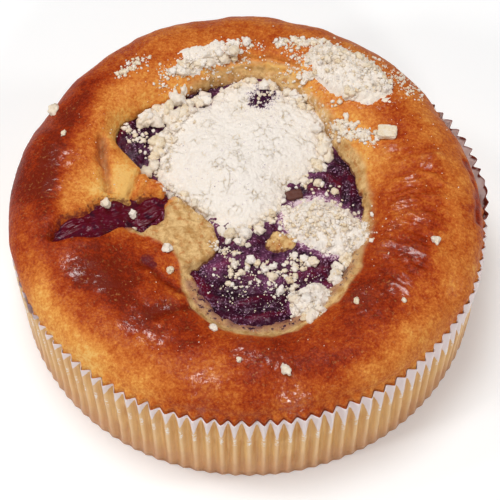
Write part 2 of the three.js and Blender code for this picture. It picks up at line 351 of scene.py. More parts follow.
def round_curve(values, angle):
    """A smooth closed curve through values that are spaced evenly round a circle."""
    values = np.asarray(values, float)
    steps = np.asarray(angle) / TURN % 1 * len(values)
    first = np.floor(steps).astype(int)
    t = steps - first
    a, b, c, d = (values[(first + k) % len(values)] for k in (-1, 0, 1, 2))
    return b + 0.5 * t * (c - a + t * (2 * a - 5 * b + 4 * c - d + t * (3 * (b - c) + d - a)))


def outline_share(shape, x, y):
    """0 at the middle of a shape, 1 on its outline."""
    radius, angle = polar(x - shape["x"], y - shape["y"])
    return radius / round_curve(shape["radii"], angle - math.radians(shape["turn"]))


def nearest_share(shapes, x, y):
    return np.min([outline_share(shape, x, y) for shape in shapes], axis=0)


def line_distance(x, y, places):
    """How far each point is from a line through a few places."""
    places = np.asarray(places, float)
    nearest = np.full(np.shape(x), 1e9)
    for start, step in zip(places[:-1], np.diff(places, axis=0)):
        t = np.clip(((x - start[0]) * step[0] + (y - start[1]) * step[1]) / (step @ step), 0, 1)
        nearest = np.minimum(nearest, np.hypot(x - start[0] - t * step[0], y - start[1] - t * step[1]))
    return nearest


def spots(table, x, y):
    """Soft round spots, each as strong as its last number, or 1 where it has only three."""
    total = 0
    for east, north, radius, *strength in table:
        distance = np.hypot(x - east, y - north) / radius
        total = total + (strength or [1])[0] * np.exp(-(distance**2))
    return total


def crease_lines(x, y):
    """The fold lines' depth, and how strongly each point is in one and in a bare one, from 0 to 1."""
    x, y = wandering(x, y, 4, 0.7, 15)
    depth, share, bare_share = 0, 0, 0
    for places, width, deep, bare in CREASES:
        line = np.exp(-((line_distance(x, y, places) / width) ** 2))
        depth = depth + deep * line
        share = np.maximum(share, line)
        bare_share = np.maximum(bare_share, bare * line)
    return depth, share, bare_share


# Surfaces of the dough and the filling, as heights over the rim


def crest_height(angle):
    return CREST_HEIGHT + BACK_LIFT * np.sin(angle)


def shoulder_level(angle):
    """The height at which the crust is widest: the further it hangs out, the higher."""
    further_out = round_curve(CRUST_RADII, angle) - LOW_SHOULDER["radius"]
    return LOW_SHOULDER["height"] + SHOULDER_RISE * further_out


def shoulder_height(outward, angle):
    """The crust's height from the crest, 0 outward, to where it is widest, 1 outward."""
    level = np.clip(1 - outward**SHOULDER_POWER, 0, 1) ** (1 / SHOULDER_POWER)
    return mix(shoulder_level(angle), crest_height(angle), level)


def bulge_height(bulge, x, y):
    share = outline_share(bulge, *wandering(x, y, 5, 0.9, 12))
    top = bulge["top"] - bulge["fall"] * (x - bulge["x"])
    return mix(top, HOLLOW_FLOOR - 1, smooth((share - 0.65) / 0.4)) - 0.8 * np.minimum(share, 1) ** 2


def hollow_height(x, y):
    """The ring's inner side, the hollow's lip, wall and floor, with the bulges that stand in it."""
    radius, angle = polar(x, y)
    lip = round_curve(LIP_RADII, angle)
    crest = crest_height(angle)
    inward = (CREST_RADIUS - radius) / (CREST_RADIUS - lip)
    slope = smooth((lip - radius) / round_curve(WALL_WIDTHS, angle))
    height = np.where(inward < 1, crest - LIP_DROP * inward**2, mix(crest - LIP_DROP, HOLLOW_FLOOR, slope))
    for bulge in [TORN_DOUGH, GOLDEN_BULGE, *DOUGH_WINDOWS]:
        height = higher(height, bulge_height(bulge, x, y), 0.9)
    return height


def crust_height(x, y):
    """The crust without the split, its folds and its wrinkles."""
    radius, angle = polar(x, y)
    reach = round_curve(CRUST_RADII, angle) - CREST_RADIUS
    outward = np.clip((radius - CREST_RADIUS) / reach, 0, 1)
    return np.where(radius > CREST_RADIUS, shoulder_height(outward, angle), hollow_height(x, y))


def split_place(x, y):
    """Where a point is in the split: from -1 to 1 along it, and from -1, its front, to 1, across."""
    east, north = turned(x - SPLIT["x"], y - SPLIT["y"], -SPLIT["turn"])
    along = east / SPLIT["along"]
    return along, north / SPLIT["across"] - 0.13 * np.sin(along * 9 + 1)


def split_cut(x, y):
    """How deep the split is: steep under its rolled front lip, and sloping up at its back."""
    along, across = split_place(x, y)
    width = np.sqrt(np.clip(1 - along**2, 0, 1))
    front = smooth((across + width) / 0.3)
    back = smooth((width - across) / 0.85)
    lip = np.exp(-(((across + width + 0.3) / 0.35) ** 2)) * width
    return SPLIT["depth"] * front * back * width**0.5 - 0.7 * lip


def filling_height(x, y):
    swell = FILLING_SWELL * (1 - (np.hypot(x, y) / CREST_RADIUS) ** 2)
    return FILLING_LEVEL + swell + spots(FILLING_RISES, x, y)


# Meshes


def add_mesh(name, points, faces, material):
    """A mesh object from points in millimetres over the rim, and arrays of faces' corners."""
    mesh = bpy.data.meshes.new(name)
    places = (points + [0, 0, RIM_HEIGHT]) * MM
    mesh.from_pydata(places.tolist(), [], [face for group in faces for face in group.tolist()])
    mesh.shade_smooth()
    mesh.materials.append(material)
    piece = bpy.data.objects.new(name, mesh)
    bpy.context.scene.collection.objects.link(piece)
    return piece


def paint(piece, **values):
    """Numbers at each of a mesh's points, for its material to read."""
    for name, numbers in values.items():
        attribute = piece.data.attributes.new(name, "FLOAT", "POINT")
        attribute.data.foreach_set("value", np.asarray(numbers, np.float32))


def closed_rings(rings):
    """Points and faces of a closed surface through rings, shut in the middle of the first and the last."""
    rows, columns = rings.shape[:2]
    points = np.concatenate([[rings[0].mean(axis=0)], rings.reshape(-1, 3), [rings[-1].mean(axis=0)]])
    number = 1 + np.arange(rows * columns).reshape(rows, columns)
    after = np.roll(number, -1, axis=1)
    quads = np.stack([number[:-1], after[:-1], after[1:], number[1:]], axis=-1).reshape(-1, 4)
    first, last = np.zeros(columns, int), np.full(columns, len(points) - 1)
    fans = np.stack([[first, after[0], number[0]], [last, number[-1], after[-1]]])
    return points, [quads, fans.transpose(0, 2, 1).reshape(-1, 3)]


def ring_normals(rings):
    """Outward directions on a surface of rings that run anticlockwise and upward."""
    along = np.roll(rings, -1, axis=1) - np.roll(rings, 1, axis=1)
    up = np.gradient(rings, axis=0)
    normals = np.cross(along, up)
    return normals / np.maximum(np.linalg.norm(normals, axis=-1, keepdims=True), 1e-9)


def polar_points(radius, angle, height):
    radius, angle, height = np.broadcast_arrays(radius, angle, height)
    return np.stack([radius * np.cos(angle), radius * np.sin(angle), height], axis=-1)


# Materials


def colour(*screen_values):
    """A shader colour from red, green and blue, 0 to 255, as a screen shows them."""
    return (*[c / 255 / 12.92 if c < 11 else ((c / 255 + 0.055) / 1.055) ** 2.4 for c in screen_values], 1)


class Finish:
    """A material with one principled shader, and short ways to make and join its nodes."""

    def __init__(self, name, **constants):
        self.material = bpy.data.materials.new(name)
        self.material.use_nodes = True
        self.tree = self.material.node_tree
        self.place = self.make("ShaderNodeTexCoord").outputs["Object"]
        for socket, value in constants.items():
            self.give(socket.replace("_", " "), value)

    def give(self, socket, value):
        """Feeds one of the principled shader's own sockets."""
        self.feed(self.tree.nodes["Principled BSDF"].inputs[socket], value)

    def feed(self, socket, value):
        """Joins a node's output or a painted attribute, given by its name, or else sets a number."""
        if isinstance(value, str):
            value = self.make("ShaderNodeAttribute", attribute_name=value).outputs["Fac"]
        if isinstance(value, bpy.types.NodeSocket):
            self.tree.links.new(value, socket)
        else:
            socket.default_value = value

    def make(self, kind, inputs=None, **settings):
        node = self.tree.nodes.new(kind)
        for name, value in settings.items():
            setattr(node, name, value)
        for socket, value in (inputs or {}).items():
            self.feed(node.inputs[socket], value)
        return node

    def noise(self, size_mm, detail=3, roughness=0.6, distortion=0, stretch=(1, 1, 1)):
        place = self.place
        if stretch != (1, 1, 1):
            place = self.make("ShaderNodeMapping", dict(Vector=place, Scale=stretch)).outputs["Vector"]
        inputs = dict(Vector=place, Scale=1 / (size_mm * MM), Detail=detail, Roughness=roughness)
        return self.make("ShaderNodeTexNoise", dict(inputs, Distortion=distortion)).outputs["Fac"]

    def math(self, operation, a, b):
        return self.make("ShaderNodeMath", {0: a, 1: b}, operation=operation).outputs[0]

    def sum(self, *values):
        total = values[0]
        for value in values[1:]:
            total = self.math("ADD", total, value)
        return total

    def times(self, a, b):
        return self.math("MULTIPLY", a, b)

    def swing(self, size_mm, reach, detail=4, roughness=0.65):
        """Noise as a number from about -reach to reach."""
        return self.times(self.math("SUBTRACT", self.noise(size_mm, detail, roughness), 0.5), 4 * reach)

    def fit(self, value, low, high, new_low=0, new_high=1):
        """Where value lies from low to high, smoothly, as a number from new_low to new_high."""
        inputs = {"Value": value, "From Min": low, "From Max": high, "To Min": new_low, "To Max": new_high}
        return self.make("ShaderNodeMapRange", inputs, interpolation_type="SMOOTHSTEP").outputs["Result"]

    def mix(self, share, a, b):
        """Between two colours, each a node's output or red, green and blue as a screen shows them."""
        a, b = (colour(*c) if isinstance(c, tuple) else c for c in (a, b))
        return self.make("ShaderNodeMix", {0: share, 6: a, 7: b}, data_type="RGBA").outputs[2]

    def ramp(self, value, stops):
        """Colours that follow a value, each with its place from 0 to 1."""
        node = self.make("ShaderNodeValToRGB", dict(Fac=value))
        elements = node.color_ramp.elements
        while len(elements) < len(stops):
            elements.new(0.5)
        for element, (position, *rgb) in zip(elements, stops):
            element.position, element.color = position, colour(*rgb)
        return node.outputs["Color"]

    def bump(self, height, depth_mm, under=None):
        node = self.make("ShaderNodeBump", dict(Height=height, Distance=depth_mm * MM))
        if under is not None:
            self.feed(node.inputs["Normal"], under)
        return node.outputs["Normal"]


def crust_material():
    n = Finish("crust", Coat_Roughness=0.12, Specular_IOR_Level=0.1)
    level = n.sum("brown", n.swing(5, 0.12), n.swing(1.6, 0.16), n.swing(0.6, 0.2, 3))
    baked = n.ramp(level, [
        (0, 236, 184, 104), (0.15, 230, 160, 76), (0.32, 216, 130, 56), (0.5, 195, 99, 34),
        (0.68, 170, 64, 15), (0.84, 146, 42, 4), (1, 116, 28, 2),
    ])
    # Light flecks over the baked colour: painted tiny highlights.
    glint_flecks = n.times(n.fit(n.noise(0.8, 3, 0.65), 0.56, 0.72), n.fit(n.noise(5), 0.4, 0.6, 0.1, 0.3))
    baked = n.mix(glint_flecks, baked, (232, 166, 96))
    bare = n.mix(n.fit(n.noise(2.4, 5, 0.7), 0.35, 0.65), (186, 138, 80), (232, 193, 134))
    bare = n.mix(n.fit(n.noise(2, 4, 0.7), 0.54, 0.64, 0, 0.6), bare, (186, 108, 46))
    surface = n.mix("bare", baked, bare)
    wet = n.fit(n.sum("wet", n.swing(1, 0.4)), 0.35, 0.75)
    surface = n.mix(n.times(wet, 0.8), surface, (92, 18, 30))
    soaked = n.times("specked", n.fit(n.noise(3, 4, 0.65), 0.35, 0.65, 0.3, 0.8))
    surface = n.mix(soaked, surface, (164, 112, 98))
    specks = n.fit(n.noise(1.2, 4, 0.7), 0.54, 0.62)
    surface = n.mix(n.times("specked", specks), surface, STAIN)
    floury = n.fit(n.sum("dust", n.swing(0.9, 0.3), -0.5), 0.05, 0.35)
    surface = n.mix(n.times(floury, 0.8), surface, (244, 226, 204))
    n.give("Base Color", surface)
    glaze = n.fit(n.sum("glaze", n.swing(1.5, 0.4)), 0.25, 0.8, 0.04, 1)
    n.give("Coat Weight", n.times(glaze, n.math("SUBTRACT", 1, "bare")))
    n.give("Roughness", n.fit(level, 0.2, 0.8, 0.6, 0.42))
    n.give("Normal", n.bump(n.noise(0.55, 4), 0.28))
    n.give("Coat Normal", n.bump(n.noise(1.4, distortion=1), 0.16))
    return n.material


def paper_material():
    n = Finish("paper", Subsurface_Weight=0.4, Subsurface_Scale=0.5 * MM, Specular_IOR_Level=0.3)
    n.give("Subsurface Radius", (1, 0.9, 0.85))
    dry = n.fit(n.sum("dry_reach", n.times("below", -1), n.swing(0.9, 0.35)), -0.25, 0.25)
    streaks = n.noise(1.1, 4, 0.65, stretch=(1, 1, 0.06))
    oiled = n.ramp(streaks, [(0.3, 200, 138, 68), (0.7, 236, 184, 112)])
    # Paler along the outer folds: painted light where they catch it.
    oiled = n.mix(n.fit("fold", 0.45, 1, 0, 0.7), oiled, (244, 200, 148))
    # Darker and pinker towards the foot: painted shade near the floor.
    foot = n.fit(n.sum("below", n.swing(6, 3)), 13, 27, 0, 0.65)
    oiled = n.mix(foot, oiled, (192, 130, 96))
    surface = n.mix(dry, oiled, (240, 222, 220))
    glint = n.times("glint", n.fit(n.noise(0.8, 2, 0.5, stretch=(1, 1, 2)), 0.5, 0.56))
    surface = n.mix(glint, surface, (250, 238, 230))
    surface = n.mix("stain", surface, (104, 60, 86))
    surface = n.mix("burnt", surface, (108, 38, 24))
    n.give("Base Color", surface)
    n.give("Roughness", n.fit(dry, 0, 1, 0.4, 0.75))
    n.give("Normal", n.bump(n.noise(0.8, 4, stretch=(1, 1, 0.5)), 0.12))
    return n.material


def jam_material():
    n = Finish("jam", Coat_Roughness=0.06, Specular_IOR_Level=0.12, Specular_Tint=colour(255, 190, 225))
    red = n.sum("red", n.swing(1.5, 0.2))
    wet = n.ramp(red, [(0.1, 36, 12, 26), (0.4, 58, 14, 34), (0.65, 92, 10, 32), (0.9, 84, 4, 18)])
    dust = n.sum("dust", n.swing(1.4, 0.3))
    haze = n.fit(n.sum(dust, n.swing(0.6, 0.2, 3)), 0.15, 1, 0, 0.55)
    flour = n.fit(n.sum(dust, n.swing(0.45, 0.5, 3)), 0.85, 1.15, 0, 0.85)
    surface = n.mix(haze, wet, (152, 88, 130))
    specks = n.times(n.fit(n.noise(0.5, 2), 0.58, 0.66, 0, 0.7), n.fit(n.noise(4), 0.35, 0.6))
    surface = n.mix(n.times(specks, n.math("SUBTRACT", 1, "in_split")), surface, (196, 148, 180))
    surface = n.mix(flour, surface, (238, 214, 220))
    n.give("Base Color", surface)
    n.give("Roughness", n.fit(dust, 0.2, 0.7, 0.25, 0.8))
    n.give("Coat Weight", n.sum(n.fit(dust, 0.2, 0.6, 0.14, 0), n.times("in_split", 0.2)))
    n.give("Coat Normal", n.bump(n.noise(1.3, distortion=0.6), 0.25))
    n.give("Normal", n.bump(n.noise(0.9, 4, distortion=0.4), 0.12))
    return n.material


def crumb_material():
    n = Finish("crumb", Roughness=0.95, Specular_IOR_Level=0.1)
    # The partings between clods are tinted tan as painted shade in the gaps, and sunk by the bump below.
    parted = n.times("gap", n.fit(n.noise(0.6, 4, 0.75), 0.46, 0.58))
    tint = n.sum("cream", n.swing(1.1, 0.08), n.swing(0.4, 0.18, 2), n.times(parted, 0.75))
    creams = [(0.1, 247, 238, 228), (0.4, 245, 231, 213), (0.7, 240, 221, 190), (1, 214, 172, 120)]
    surface = n.ramp(tint, creams)
    stained = n.sum("stained", n.swing(1.4, 0.4), n.swing(0.45, 0.5, 2))
    surface = n.mix(n.fit(stained, 0.2, 0.7, 0, 0.7), surface, (198, 176, 194))
    surface = n.mix(n.fit(stained, 0.5, 0.75), surface, STAIN)
    n.give("Base Color", surface)
    grain = n.bump(n.noise(0.5, 4, 0.75), 0.24)
    n.give("Normal", n.bump(n.times(parted, -1), 0.15, grain))
    return n.material


def chip_material():
    n = Finish("chip", Roughness=0.55)
    surface = n.mix(n.noise(0.7, 4), (70, 28, 20), (108, 56, 40))
    n.give("Base Color", surface)
    n.give("Normal", n.bump(n.noise(0.4, 3, 0.7), 0.12))
    return n.material


# Paper case


def pleat_angle(step):
    """The direction of each numbered pleat, which are unevenly wide; whole numbers are outer folds."""
    around = polar_points(RIM_RADIUS, step / PLEATS * TURN, 0)
    return (step + PLEAT_PHASE + 0.12 * noise(around, 7, 41)) / PLEATS * TURN - math.pi / 2


def pleat_fold(step):
    """From 0, in an inner fold, to 1, in an outer one."""
    return 0.5 + 0.5 * np.arcsin(0.94 * np.cos(step * TURN)) / math.asin(0.94)


def near_angle(angle, middle, half, blend=8):
    """1 within half degrees of a direction, and 0 further off."""
    off = np.abs((np.degrees(angle) - middle + 180) % 360 - 180)
    return smooth((half + blend / 2 - off) / blend)


def paper_radius(step, angle, share):
    """The case's outer side, at a share of its height."""
    around = polar_points(RIM_RADIUS, angle, share * RIM_HEIGHT)
    pleat = mix(BASE_PLEAT_DEPTH, RIM_PLEAT_DEPTH, np.sqrt(share)) * (1 + 0.3 * noise(around, 5, 42))
    pleat = pleat * (1 - 0.75 * near_angle(angle, **FLAT_PLEATS))
    loose = near_angle(angle, **LOOSE_RIM) * np.clip((share - 0.82) / 0.18, 0, 1)
    lean = LOOSE_RIM_LEAN * loose * (0.85 + 0.4 * noise(around, 6, 44))
    dent = 0.22 * noise(around, 14, 43, 2) * smooth(share * 3)
    dent += 0.07 * noise(around, 2, 45) * smooth(share * 9)
    outside = RIM_RADIUS - ROOM_FOR_DENTS - BASE_INSET * (1 - share)
    return outside - pleat * (1 - pleat_fold(step)) + lean + dent


def case_wall(step, angle, inset, shares):
    """Rings along one face of the case's wall, at shares of its height."""
    loose = near_angle(angle, **LOOSE_RIM)
    around = polar_points(RIM_RADIUS, angle, 0)
    rim = 0.25 * noise(around, 3, 46) + loose * (0.3 + 0.8 * noise(around, 2.5, 47, 2))
    rings = []
    for share in shares:
        height = mix(-RIM_HEIGHT + inset, 0, share) + rim * smooth((share - 0.8) / 0.2)
        rings.append(polar_points(paper_radius(step, angle, share) - inset, angle, height))
    return rings


def make_case():
    step = np.arange(PLEATS * POINTS_PER_PLEAT) / POINTS_PER_PLEAT
    angle = pleat_angle(step)
    outer = np.concatenate([np.linspace(0, 0.55, 9)[:-1], np.linspace(0.55, 1, 25)])
    inner = np.append(np.linspace(1, 0.55, 20), np.linspace(0.5, 0, 6))
    rings = [polar_points(FLOOR_RADIUS, angle, -RIM_HEIGHT)]
    rings += case_wall(step, angle, 0, outer) + case_wall(step, angle, PAPER, inner)
    points, faces = closed_rings(np.array(rings))
    piece = add_mesh("case", points, faces, paper_material())
    shares = np.concatenate([[0], outer, inner])
    from_edge = RIM_HEIGHT * (1 - np.pad(np.repeat(shares, len(step)), 1))
    paint_case(piece, points, from_edge, np.pad(np.tile(pleat_fold(step), len(rings)), 1))
    return piece


def paint_case(piece, points, from_edge, fold):
    below = -points[:, 2]
    compass = np.arctan2(points[:, 1], points[:, 0])
    dry_reach = round_curve(DRY_INSIDE, compass) + round_curve(DRY_OUTSIDE, compass) * fold**1.3
    burnt_reach = 0.6 + 2.2 * near_angle(compass, **BURNT_FOLDS) + 0.8 * noise(points, 2.5, 49, 2)
    stained = smooth((0.35 + noise(points * [1, 1, 0.5], 4, 50, 2) - below / 5) / 0.2)
    glint_top, glint_foot = GLINTS
    in_glints = smooth((below - glint_top) / 0.6) * smooth((glint_foot - below) / 1.5)
    paint(
        piece,
        fold=fold,
        below=below,
        dry_reach=dry_reach * (1 + 0.18 * noise(points * [1, 1, 0], 3.5, 48)),
        glint=smooth((fold - 0.7) / 0.2) * in_glints,
        burnt=near_angle(compass, **BURNT_RIM) * smooth((burnt_reach - from_edge) / 0.2),
        stain=0.8 * near_angle(compass, **STAINED_PAPER) * stained,
    )


# Dough


def brown_level(x, y):
    """How brown the crust is, from 0, pale, to 1, dark."""
    x, y = wandering(x, y, 11, 2.2, 3)
    radius, angle = polar(x, y)
    lip = round_curve(LIP_RADII, angle)
    at_lip, at_crest, at_slope, at_paper = [round_curve(ring, angle) for ring in BROWN_RINGS]
    level = mix(at_lip, at_crest, smooth((radius - lip) / (CREST_RADIUS - 1 - lip)))
    level = mix(level, at_slope, smooth((radius - CREST_RADIUS) / (OUTER_SLOPE_RADIUS - CREST_RADIUS)))
    outward = (radius - OUTER_SLOPE_RADIUS) / (PAPER_SIDE_RADIUS - OUTER_SLOPE_RADIUS)
    level = mix(level, at_paper, smooth(outward))
    return level + spots(BAKED_SPOTS, x, y) + 0.12 * noise(flat(x, y), 12, 5, 3)


def pulled_skin(x, y):
    """Ridges, from about -1 to 1, that run outward over the ring where the skin was pulled."""
    radius, angle = polar(x, y)
    pulled = near_angle(angle, **PULLED_SKIN) * smooth((radius - 32) / 3) * smooth((49 - radius) / 5)
    spokes = flat(radius / 9 + 0.4 * noise(flat(x, y), 9, 29), angle * 12)
    return pulled * (0.8 * noise(spokes, 1, 24, 3) + 0.5 - np.abs(noise(spokes, 0.7, 30, 2)))


def crust_relief(rings):
    """How far the skin stands out from the plain shape: swellings, folds and fine wrinkles."""
    x, y = rings[..., 0], rings[..., 1]
    radius, angle = polar(x, y)
    outside = smooth((radius - round_curve(LIP_RADII, angle)) / 2)
    swell = 0.8 * noise(rings, 18, 21, 2) + 0.3 * noise(rings, 7, 26, 2)
    glazed = np.clip(spots(GLAZED_SPOTS, x, y), 0, 1)
    crinkle = (1 - 2 * np.abs(noise(rings, 1.8, 22, 3))) * mix(0.05, 0.22, glazed)
    skin = swell + crinkle + 0.8 * pulled_skin(x, y)
    pits = smooth((0.45 - grains(rings, 2.2, 25)[0]) / 0.3) * smooth(noise(rings, 5, 28) + 0.5)
    window = smooth((1.3 - nearest_share(DOUGH_WINDOWS, x, y)) / 0.3)
    rough = 0.5 * noise(rings, 4, 23, 2) + 0.25 * noise(rings, 1.4, 27, 3) - 0.8 * pits
    return mix(rough * (1 - 0.75 * window), skin, np.maximum(outside, golden_share(x, y)))


def golden_share(x, y):
    """1 at the hollow's left, where its side has a skin."""
    radius, angle = polar(x, y)
    lip = near_angle(angle, **GOLDEN_LIP) * smooth((radius - round_curve(LIP_RADII, angle)) / 1.5 + 3)
    return np.maximum(smooth((1.05 - outline_share(GOLDEN_BULGE, x, y)) / 0.15), lip)


def crust_side(step, angle):
    """Rings under the dough and up its side, which fills the pleats, and others round its shoulder."""
    rings = [polar_points(share * FLOOR_RADIUS, angle, DOUGH_FOOT) for share in (0.6, 0.99)]
    free = near_angle(angle, **LOOSE_RIM)
    for height in SIDE_HEIGHTS:
        room = 2 * PAPER if height > PRESSED_HEIGHT else 1
        side = paper_radius(step, angle, 1 + height / RIM_HEIGHT) - room
        side = mix(side, np.minimum(side, LOOSE_DOUGH_RADIUS), free * (height > LOOSE_HEIGHT))
        rings.append(polar_points(side, angle, height))
    crust, level = round_curve(CRUST_RADII, angle), shoulder_level(angle)
    for share in (0.35, 0.7):
        radius = mix(side, np.maximum(crust, side - 1), share**1.5)
        rings.append(polar_points(radius, angle, mix(SIDE_HEIGHTS[-1], level, share)))
    shoulder = []
    for t in np.linspace(0, math.pi / 2, 50):
        outward = math.cos(t) ** (2 / SHOULDER_POWER)
        height = shoulder_height(outward, angle)
        filled = smooth(1 - (height - level) / 1.6) * np.maximum(side - crust, 0) * 0.9
        shoulder.append(polar_points(mix(CREST_RADIUS, crust, outward) + filled, angle, height))
    return rings, shoulder


def crust_inside(angle):
    """Rings from the crest over the hollow's lip to its middle."""
    lip = round_curve(LIP_RADII, angle)
    radii = [mix(CREST_RADIUS, lip, t) for t in np.linspace(0, 1, 25)[1:]]
    radii += [mix(lip, CENTRE_RADIUS, t) for t in np.linspace(0, 1, 52)[1:]]
    radii += [CENTRE_RADIUS * t for t in np.linspace(1, 0, 7)[1:-1]]
    rings = [polar_points(radius, angle, 0) for radius in radii]
    for ring in rings:
        ring[:, 2] = hollow_height(ring[:, 0], ring[:, 1])
    return rings


def make_crust():
    columns = PLEATS * CRUST_COLUMNS_PER_PLEAT
    step = np.arange(columns) / CRUST_COLUMNS_PER_PLEAT
    angle = pleat_angle(step)
    side, shoulder = crust_side(step, angle)
    rings = np.array(side + shoulder + crust_inside(angle))
    top = rings[len(side):]
    x, y = top[..., 0], top[..., 1]
    top[..., 2] -= split_cut(x, y)
    push = crust_relief(top) - crease_lines(x, y)[0]
    push *= smooth(np.arange(len(push)) / 8)[:, None]
    top += ring_normals(rings)[len(side):] * push[..., None]
    points, faces = closed_rings(rings)
    piece = add_mesh("crust", points, faces, crust_material())
    paint_crust(piece, points)
    return piece


def paint_crust(piece, points):
    x, y, z = points.T
    radius, angle = polar(x, y)
    inward = round_curve(LIP_RADII, angle) - radius
    near_side = smooth(0.5 - np.sin(angle + 0.5))
    pale_reach = round_curve(PALE_REACH, angle) + 0.9 * noise(points, 5, 11, 2)
    bare = smooth((inward + pale_reach) / mix(2.2, 0.8, near_side))
    golden = golden_share(x, y)
    along, across = split_place(x, y)
    in_split = smooth((1.15 - np.hypot(along, across)) / 0.15)
    _, crease_shade, bare_crease = crease_lines(x, y)
    bare = np.maximum(bare * (1 - golden), bare_crease) * (1 - in_split)
    # Painted shade: browner along the fold lines and in the pulled skin's furrows, with painted light on its
    # ridges.
    brown = brown_level(x, y) + 0.32 * crease_shade + 0.05 * in_split - 0.14 * pulled_skin(x, y)
    torn = smooth((1.1 - nearest_share([TORN_DOUGH, *DOUGH_WINDOWS], x, y)) / 0.15)
    wet = smooth((1.3 - z + filling_height(x, y)) / 1.6) * (inward > -1) + spots(JAM_SPOTS, x, y)
    wet += 0.6 * smooth((1.05 - np.hypot(along, across)) / 0.3)
    paint(
        piece,
        brown=brown,
        bare=bare,
        specked=smooth((inward + 0.5) / 1.5) * near_side * (1 - torn) * (1 - golden),
        wet=wet,
        dust=fallen_flour(CRUST_FLOUR, 1.45, 0.5, x, y),
        glaze=np.clip(spots(GLAZED_SPOTS, x, y), 0, 1) * (1 - bare),
    )


# Filling


def pulp_relief(points):
    """Broad soft folds of jam that run round the hollow, and their height with berry pulp in them."""
    radius, angle = polar(points[..., 0], points[..., 1])
    wavering = np.abs(radius + 3 * noise(points, 12, 55))
    folds = noise(flat(wavering / 3.6, angle * 30 / 13), 1, 51, 2)
    return folds, 0.7 * folds + 0.5 * noise(points, 3.2, 52, 2) + 0.25 * noise(points, 1.2, 54, 2)


def pool_rings():
    """The filling in the hollow: its foot, hidden in the dough, and its top from the edge inward."""
    angle = np.arange(FILLING_COLUMNS) / FILLING_COLUMNS * TURN
    edge = round_curve(LIP_RADII, angle) - 0.8
    foot = [polar_points(edge * t, angle, FILLING_FOOT) for t in (0.5, 1)]
    top = np.array([polar_points(edge * t, angle, 0) for t in np.linspace(1, 0, 90)[:-1]])
    top[..., 2] = filling_height(top[..., 0], top[..., 1]) + pulp_relief(top)[1]
    return np.concatenate([foot, top])


def split_rings():
    """The filling that shows in the split, in the same way."""
    angle = np.arange(SPLIT_COLUMNS) / SPLIT_COLUMNS * TURN
    rings = []
    foot = [(t, SPLIT_FILLING_THICKNESS) for t in (0.5, 1)]
    for share, sunk in foot + [(t, 0) for t in np.linspace(1, 0, 28)[:-1]]:
        along = SPLIT["along"] * share * np.cos(angle)
        across = SPLIT["across"] * share * np.sin(angle)
        x, y = turned(along, across, SPLIT["turn"])
        x, y = x + SPLIT["x"], y + SPLIT["y"]
        level = higher(crust_height(x, y) - SPLIT_FILLING_DROP, filling_height(x, y) + 0.4, 1)
        level = level + 0.45 * noise(flat(along / 3, across), 1.4, 53, 3)
        level = level + 0.5 * noise(flat(x, y), 3, 56, 2) - 0.5 * smooth(across / 4)
        rings.append(np.stack([x, y, level - sunk], axis=-1))
    return np.array(rings)


def fallen_flour(strengths, reach, blend, x, y):
    """How floury each place is round the heap and the patches, each as strong as its own number."""
    flour = 0
    for patch, strength in zip([HEAP, *PATCHES.values()], strengths):
        flour = np.maximum(flour, strength * smooth((reach - outline_share(patch, x, y)) / blend))
    return flour


def make_filling():
    pool, pool_faces = closed_rings(pool_rings())
    strip, strip_faces = closed_rings(split_rings())
    points = np.concatenate([pool, strip])
    faces = pool_faces + [group + len(pool) for group in strip_faces]
    piece = add_mesh("jam", points, faces, jam_material())
    x, y = points[:, 0], points[:, 1]
    in_split = np.arange(len(points)) >= len(pool)
    pool_red = 0.25 + 0.5 * pulp_relief(points * [1, 1, 0])[0] + spots(WINE_SPOTS, x, y)
    red = mix(pool_red, 0.7 + 0.4 * noise(points, 2.5, 58, 2), in_split)
    flour = fallen_flour(FILLING_FLOUR, 1.35, 0.4, x, y)
    east, north = (x - FLOURED["x"]) / FLOURED["wide"], (y - FLOURED["y"]) / FLOURED["deep"]
    flour = np.maximum(flour, 0.5 * smooth((1.5 - np.hypot(east, north)) / 0.8))
    flour = flour + 0.25 * noise(points, 6, 57, 2)
    paint(piece, red=red, dust=np.where(in_split, NO_FLOUR, flour), in_split=in_split)
    return piece


# Crumbs


class Ground:
    """What crumbs fall on: the pieces made so far."""

    def __init__(self):
        self.trees = []

    def add(self, *pieces):
        depsgraph = bpy.context.evaluated_depsgraph_get()
        self.trees += [BVHTree.FromObject(piece, depsgraph) for piece in pieces]

    def height(self, x, y):
        levels = []
        for place in zip(np.ravel(x), np.ravel(y)):
            above = Vector((*place, 3 * RIM_HEIGHT)) * MM
            hits = [tree.ray_cast(above, Vector((0, 0, -1)))[0] for tree in self.trees]
            levels.append(max(hit.z for hit in hits if hit) / MM - RIM_HEIGHT)
        return np.reshape(levels, np.shape(x))


def clods(points, size, seed):
    """Round-topped clods, from 0 to 1 high, and how far each point is from where two of them part."""
    near, second, own = grains(points, size, seed)
    return (1 - np.minimum(near, 1) ** 2) * (0.2 + 0.8 * own), (second - near) * size


def floury_relief(points, share):
    """Packed floury crumbs: clods that stand apart more and more near the edge, and a fine grain.
    Gives their height, and how near each point is to where two clods part."""
    moved = flat(*wandering(points[..., 0], points[..., 1], 3, 0.25, 65))
    height = 0.6 * noise(points, 9, 64) + 0.22 * noise(points, 1.2, 66, 3)
    at_edge = smooth((share - 0.62) / 0.38 + 0.3 * noise(points, 6, 60))
    gap = 0
    for size, shallow, deep, seed in [(4.4, 0.15, 1.3, 61), (1.9, 0.06, 1.0, 63), (0.95, 0.2, 0.3, 62)]:
        lumps, parting = clods(moved, size, seed)
        height = height + mix(shallow, deep, at_edge) * lumps
        here = smooth(noise(points, 2 * size, seed + 9) / 0.4)
        gap = np.maximum(gap, here * smooth(1 - parting / 0.3) * (size > 1))
    return height - mix(0.2, 0.9, at_edge), gap


